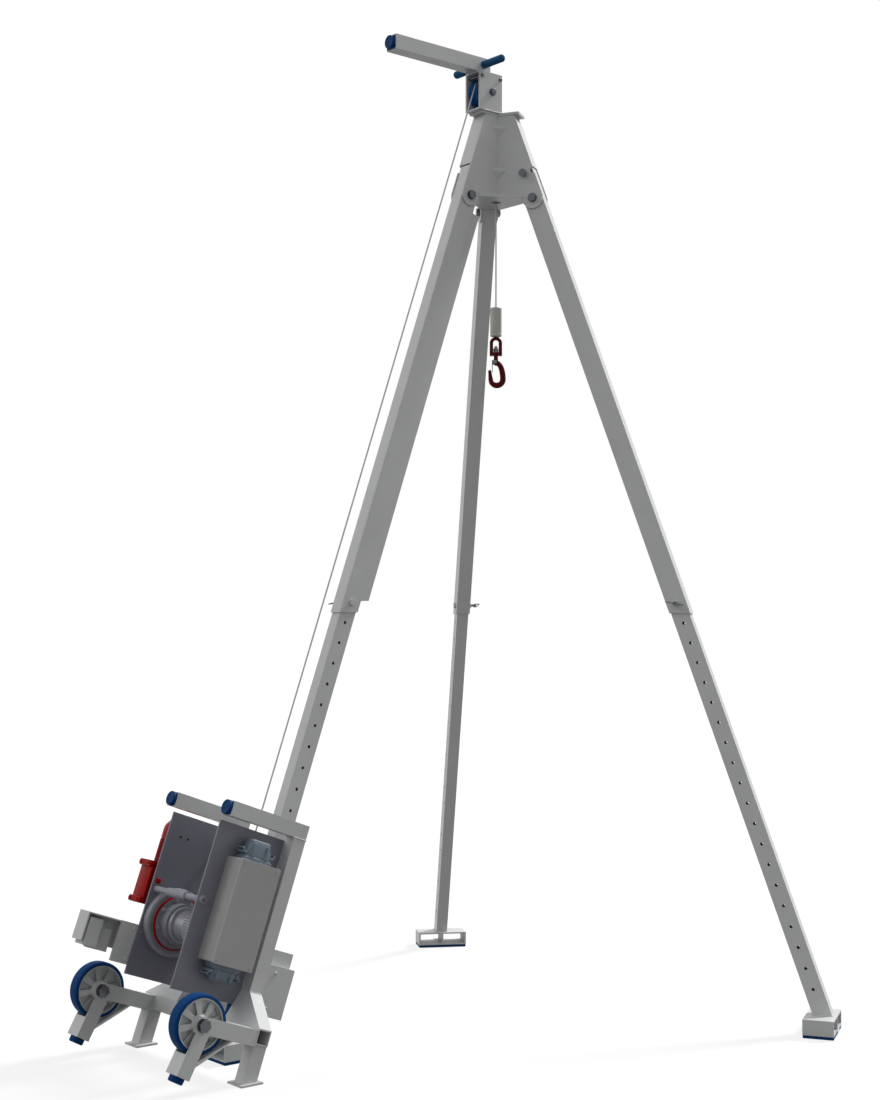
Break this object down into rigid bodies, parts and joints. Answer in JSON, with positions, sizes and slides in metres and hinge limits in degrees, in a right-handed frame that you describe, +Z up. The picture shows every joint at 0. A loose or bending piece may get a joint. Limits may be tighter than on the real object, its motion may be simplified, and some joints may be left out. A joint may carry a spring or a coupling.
{
  "type": "rescue tripod",
  "caption": "Telescopic three-legged rescue tripod with a hinged head, rope pulley and swivel hook, and a motor winch on wheels clamped to one leg.",
  "frame": {"origin": "ground level straight below the hanging rope", "axes": "+Z up along the hanging rope; the winch leg points to -Y, the other two legs to 30 and 150 degrees from +X towards +Y"},
  "size_m": [1.8784, 1.9454, 2.9343],
  "materials": {
    "light_paint": "smooth light grey powder coat",
    "bright_steel": "zinc-plated steel",
    "blue_rubber": "blue rubber",
    "blue_plastic": "turned blue plastic",
    "blue_tyre": "blue elastic tread",
    "cast_alloy": "cast aluminium",
    "dark_paint": "dark grey paint",
    "red_paint": "red paint",
    "hook_red": "dark red paint on forged steel",
    "wire_rope": "galvanised wire rope",
    "sleeve_grey": "grey coated weight",
    "connector_grey": "blue-grey connector hood"
  },
  "bodies": {
    "head": {"top_plate": "light_paint", "bottom_plate": "light_paint", "channel_plates": "light_paint", "corner_gussets": "light_paint", "stop_pins": "bright_steel", "pivot_bolts": "bright_steel", "pulley_housing": "light_paint", "pulley_axle": "bright_steel", "guard_bolts": "bright_steel", "head_arm": "light_paint", "arm_cap": "blue_rubber", "cross_bar": "bright_steel", "bar_grips": "blue_rubber", "rope_over_pulley": "wire_rope", "rope_fall": "wire_rope"},
    "pulley": {"pulley_wheel": "blue_plastic"},
    "hook_block": {"sleeve_weight": "sleeve_grey", "hook_bow": "hook_red"},
    "hook": {"swivel_nut": "bright_steel", "hook": "hook_red", "latch_pin": "bright_steel"},
    "latch": {"hook_latch": "bright_steel"},
    "winch_upper_leg": {"winch_leg_upper": "light_paint", "stiffener_rail": "light_paint", "rope_run": "wire_rope"},
    "winch_lower_leg": {"winch_leg_lower": "light_paint", "winch_leg_pad": "blue_rubber", "winch_frame": "light_paint", "frame_caps": "blue_rubber", "wheel_frame": "light_paint", "frame_buffers": "blue_rubber", "axle_bolts": "bright_steel", "side_plates": "dark_paint", "gearbox": "cast_alloy", "drive_motor": "red_paint", "rope_lead": "wire_rope", "spacer_bar": "bright_steel", "control_box": "light_paint", "connector_hoods": "connector_grey", "side_bracket": "light_paint", "leg_clamp": "light_paint"},
    "winch_plunger": {"winch_leg_plunger": "bright_steel"},
    "winch_head_lock": {"winch_leg_head_lock": "bright_steel"},
    "right_upper_leg": {"right_leg_upper": "light_paint"},
    "right_lower_leg": {"right_leg_lower": "light_paint", "right_leg_pad": "blue_rubber"},
    "right_plunger": {"right_leg_plunger": "bright_steel"},
    "right_head_lock": {"right_leg_head_lock": "bright_steel"},
    "rear_upper_leg": {"rear_leg_upper": "light_paint"},
    "rear_lower_leg": {"rear_leg_lower": "light_paint", "rear_leg_pad": "blue_rubber"},
    "rear_plunger": {"rear_leg_plunger": "bright_steel"},
    "rear_head_lock": {"rear_leg_head_lock": "bright_steel"},
    "near_wheel": {"near_wheel_rim": "cast_alloy", "near_wheel_tyre": "blue_tyre"},
    "far_wheel": {"far_wheel_rim": "cast_alloy", "far_wheel_tyre": "blue_tyre"},
    "drum": {"drum": "cast_alloy", "drum_rope": "wire_rope"},
    "guide_roller": {"guide_roller": "bright_steel"}
  },
  "joints": [
    {"name": "winch_leg_fold", "type": "hinge", "parent": "head", "child": "winch_upper_leg", "pos_m": [0, -0.128, 2.4933], "axis": [1, 0, 0], "range_deg": [0, 19.5]},
    {"name": "winch_leg_slide", "type": "slide", "parent": "winch_upper_leg", "child": "winch_lower_leg", "axis": [0, 0.3348, 0.9423], "range_m": [0, 0.62], "deforming": ["rope_run"]},
    {"name": "winch_plunger_push", "type": "slide", "parent": "winch_upper_leg", "child": "winch_plunger", "axis": [1, 0, 0], "range_m": [0, 0.01]},
    {"name": "winch_head_lock_push", "type": "slide", "parent": "head", "child": "winch_head_lock", "axis": [1, 0, 0], "range_m": [0, 0.01]},
    {"name": "right_leg_fold", "type": "hinge", "parent": "head", "child": "right_upper_leg", "pos_m": [0.11085, 0.064, 2.4933], "axis": [-0.5, 0.866, 0], "range_deg": [0, 19.5]},
    {"name": "right_leg_slide", "type": "slide", "parent": "right_upper_leg", "child": "right_lower_leg", "axis": [-0.2899, -0.1674, 0.9423], "range_m": [0, 0.992]},
    {"name": "right_plunger_push", "type": "slide", "parent": "right_upper_leg", "child": "right_plunger", "axis": [-0.5, 0.866, 0], "range_m": [0, 0.01]},
    {"name": "right_head_lock_push", "type": "slide", "parent": "head", "child": "right_head_lock", "axis": [-0.5, 0.866, 0], "range_m": [0, 0.01]},
    {"name": "rear_leg_fold", "type": "hinge", "parent": "head", "child": "rear_upper_leg", "pos_m": [-0.11085, 0.064, 2.4933], "axis": [-0.5, -0.866, 0], "range_deg": [0, 19.5]},
    {"name": "rear_leg_slide", "type": "slide", "parent": "rear_upper_leg", "child": "rear_lower_leg", "axis": [0.2899, -0.1674, 0.9423], "range_m": [0, 0.992]},
    {"name": "rear_plunger_push", "type": "slide", "parent": "rear_upper_leg", "child": "rear_plunger", "axis": [-0.5, -0.866, 0], "range_m": [0, 0.01]},
    {"name": "rear_head_lock_push", "type": "slide", "parent": "head", "child": "rear_head_lock", "axis": [-0.5, -0.866, 0], "range_m": [0, 0.01]},
    {"name": "near_wheel_roll", "type": "hinge", "parent": "winch_lower_leg", "child": "near_wheel", "pos_m": [0.259, -1.22873, 0.17185], "axis": [1, 0, 0], "continuous": true},
    {"name": "far_wheel_roll", "type": "hinge", "parent": "winch_lower_leg", "child": "far_wheel", "pos_m": [-0.259, -1.22873, 0.17185], "axis": [1, 0, 0], "continuous": true},
    {"name": "drum_spin", "type": "hinge", "parent": "winch_lower_leg", "child": "drum", "pos_m": [0, -1.07835, 0.35614], "axis": [-1, 0, 0], "range_deg": [0, 330], "deforming": ["drum_rope"]},
    {"name": "guide_roller_spin", "type": "hinge", "parent": "winch_lower_leg", "child": "guide_roller", "pos_m": [0, -0.92995, 0.54856], "axis": [-1, 0, 0], "range_deg": [0, 569.4]},
    {"name": "pulley_spin", "type": "hinge", "parent": "head", "child": "pulley", "pos_m": [0, -0.0455, 2.8288], "axis": [1, 0, 0], "range_deg": [0, 307.1]},
    {"name": "hook_lift", "type": "slide", "parent": "head", "child": "hook_block", "axis": [0, 0, 1], "range_m": [0, 0.2432], "deforming": ["rope_fall"]},
    {"name": "hook_swivel", "type": "hinge", "parent": "hook_block", "child": "hook", "pos_m": [0, 0, 2.021], "axis": [0, 0, 1], "continuous": true},
    {"name": "latch_open", "type": "hinge", "parent": "hook", "child": "latch", "pos_m": [-0.00133, -0.0015, 1.991], "axis": [0.7478, -0.6639, 0], "range_deg": [0, 25], "stiffness_Nm_per_rad": 0.02, "springref_deg": -34.38}
  ],
  "couplings": [
    {"joint": "hook_lift", "follows": "drum_spin", "m_per_rad": 0.0422},
    {"joint": "pulley_spin", "follows": "drum_spin", "ratio": 0.92747},
    {"joint": "guide_roller_spin", "follows": "drum_spin", "ratio": 1.7224}
  ]
}
